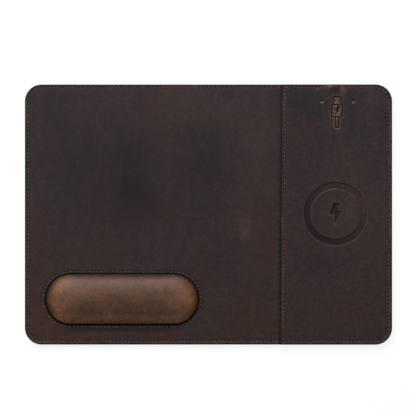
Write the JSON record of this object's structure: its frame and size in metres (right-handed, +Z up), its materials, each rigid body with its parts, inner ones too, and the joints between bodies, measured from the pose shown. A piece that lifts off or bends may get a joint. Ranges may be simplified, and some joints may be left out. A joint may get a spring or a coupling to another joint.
{
  "type": "desk mat with wireless charging pad",
  "caption": "Leather desk mat with a sewn-in wireless charging pad on its right side, a USB-C inlet in its rear edge and a padded wrist rest.",
  "frame": {"origin": "middle of the underside's outline, on the surface the mat lies on", "axes": "+X to the user's right (long side), +Y away from the user, towards the edge with the charging port, +Z up out of the desk"},
  "size_m": [0.35, 0.248, 0.015],
  "materials": {
    "dark_leather": "waxed pull-up leather, matte, mottled dark brown",
    "wrist_leather": "waxed pull-up leather, satin, stretched over foam and paler at the crown",
    "thread": "bonded nylon thread, dark brown",
    "suede_base": "non-slip microfibre suede",
    "fibre_board": "bonded leather-fibre board",
    "foam": "open-cell cushioning foam",
    "case_plastic": "black ABS, finely textured",
    "solder_mask": "green solder mask on glass-fibre board",
    "steel_shell": "drawn stainless steel",
    "gold_contact": "gold-plated contact",
    "chip_epoxy": "moulded epoxy",
    "chip_ceramic": "multilayer ceramic",
    "led_body": "milky LED package",
    "smoked_acrylic": "smoked acrylic light pipe",
    "ferrite": "sintered ferrite",
    "copper_litz": "enamelled copper litz wire",
    "insulating_card": "pressed insulating card",
    "wire_insulation": "silicone wire insulation"
  },
  "bodies": {
    "root": {"base_sheet": "suede_base", "core_board": "fibre_board", "riser_board": "fibre_board", "mouse_panel": "dark_leather", "charge_panel": "dark_leather", "wrist_plate": "fibre_board", "wrist_foam": "foam", "wrist_cover": "wrist_leather", "mouse_panel_stitching": "thread", "charge_panel_stitching": "thread", "wrist_rest_stitching": "thread", "electronics_tray": "case_plastic", "electronics_lid": "case_plastic", "circuit_board": "solder_mask", "usb_shell": "steel_shell", "usb_tongue": "case_plastic", "usb_contacts": "gold_contact", "controller_chip": "chip_epoxy", "driver_chips": "chip_epoxy", "resonant_capacitors": "chip_ceramic", "input_capacitors": "chip_ceramic", "passives": "chip_ceramic", "status_leds": "led_body", "light_pipes": "smoked_acrylic", "coil_carrier": "case_plastic", "ferrite_disc": "ferrite", "charging_coil": "copper_litz", "coil_cover": "insulating_card", "coil_leads": "wire_insulation", "thermistor": "chip_epoxy", "sensor_leads": "wire_insulation"}
  },
  "joints": []
}
